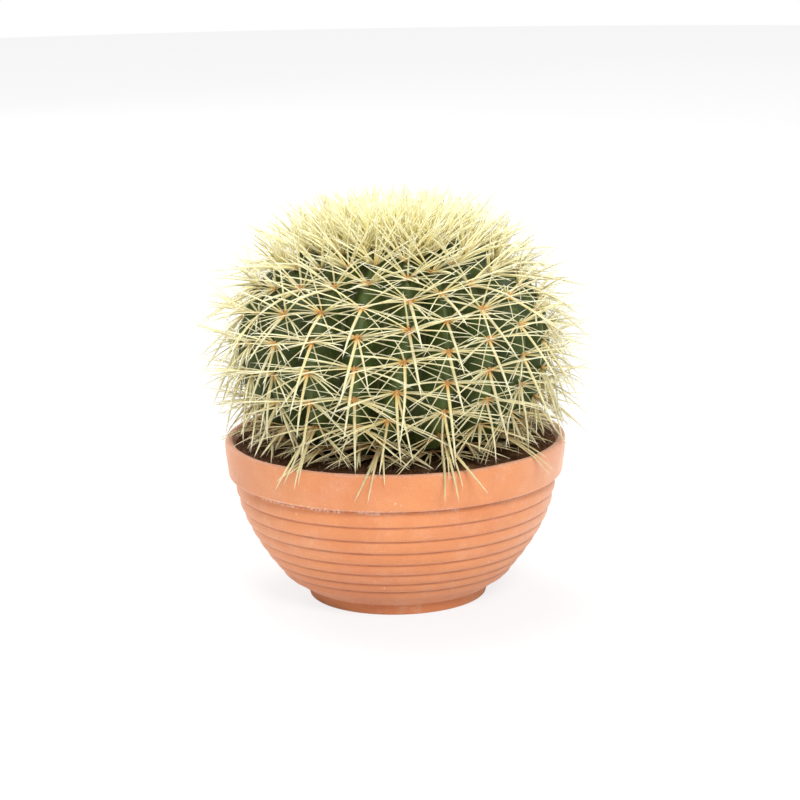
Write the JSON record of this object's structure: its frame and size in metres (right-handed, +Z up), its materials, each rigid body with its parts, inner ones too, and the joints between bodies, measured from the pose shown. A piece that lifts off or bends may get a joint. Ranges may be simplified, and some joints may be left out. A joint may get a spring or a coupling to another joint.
{
  "type": "barrel cactus in a bowl",
  "caption": "Round ribbed barrel cactus with rows of yellow spines, growing in soil in a stepped terracotta bowl with a drain hole, a potted plant for a shelf or floor.",
  "frame": {"origin": "the middle of the underside of the bowl's foot ring, at the height of the surface that the bowl stands on", "axes": "+Z up along the bowl's axis, -Y to the front, +X to the right seen from the front"},
  "size_m": [0.3294, 0.3291, 0.3361],
  "materials": {
    "terracotta": "matte",
    "soil": "matte",
    "stem_skin": "satin",
    "crown_wool": "matte",
    "spines": "satin"
  },
  "bodies": {
    "root": {"terracotta_bowl": "terracotta", "potting_soil": "soil", "stem": "stem_skin", "crown_tuft": "crown_wool", "rib_01_spines": "spines", "rib_02_spines": "spines", "rib_03_spines": "spines", "rib_04_spines": "spines", "rib_05_spines": "spines", "rib_06_spines": "spines", "rib_07_spines": "spines", "rib_08_spines": "spines", "rib_09_spines": "spines", "rib_10_spines": "spines", "rib_11_spines": "spines", "rib_12_spines": "spines", "rib_13_spines": "spines", "rib_14_spines": "spines", "rib_15_spines": "spines", "rib_16_spines": "spines", "rib_17_spines": "spines", "rib_18_spines": "spines", "rib_19_spines": "spines", "rib_20_spines": "spines", "rib_21_spines": "spines"}
  },
  "joints": []
}
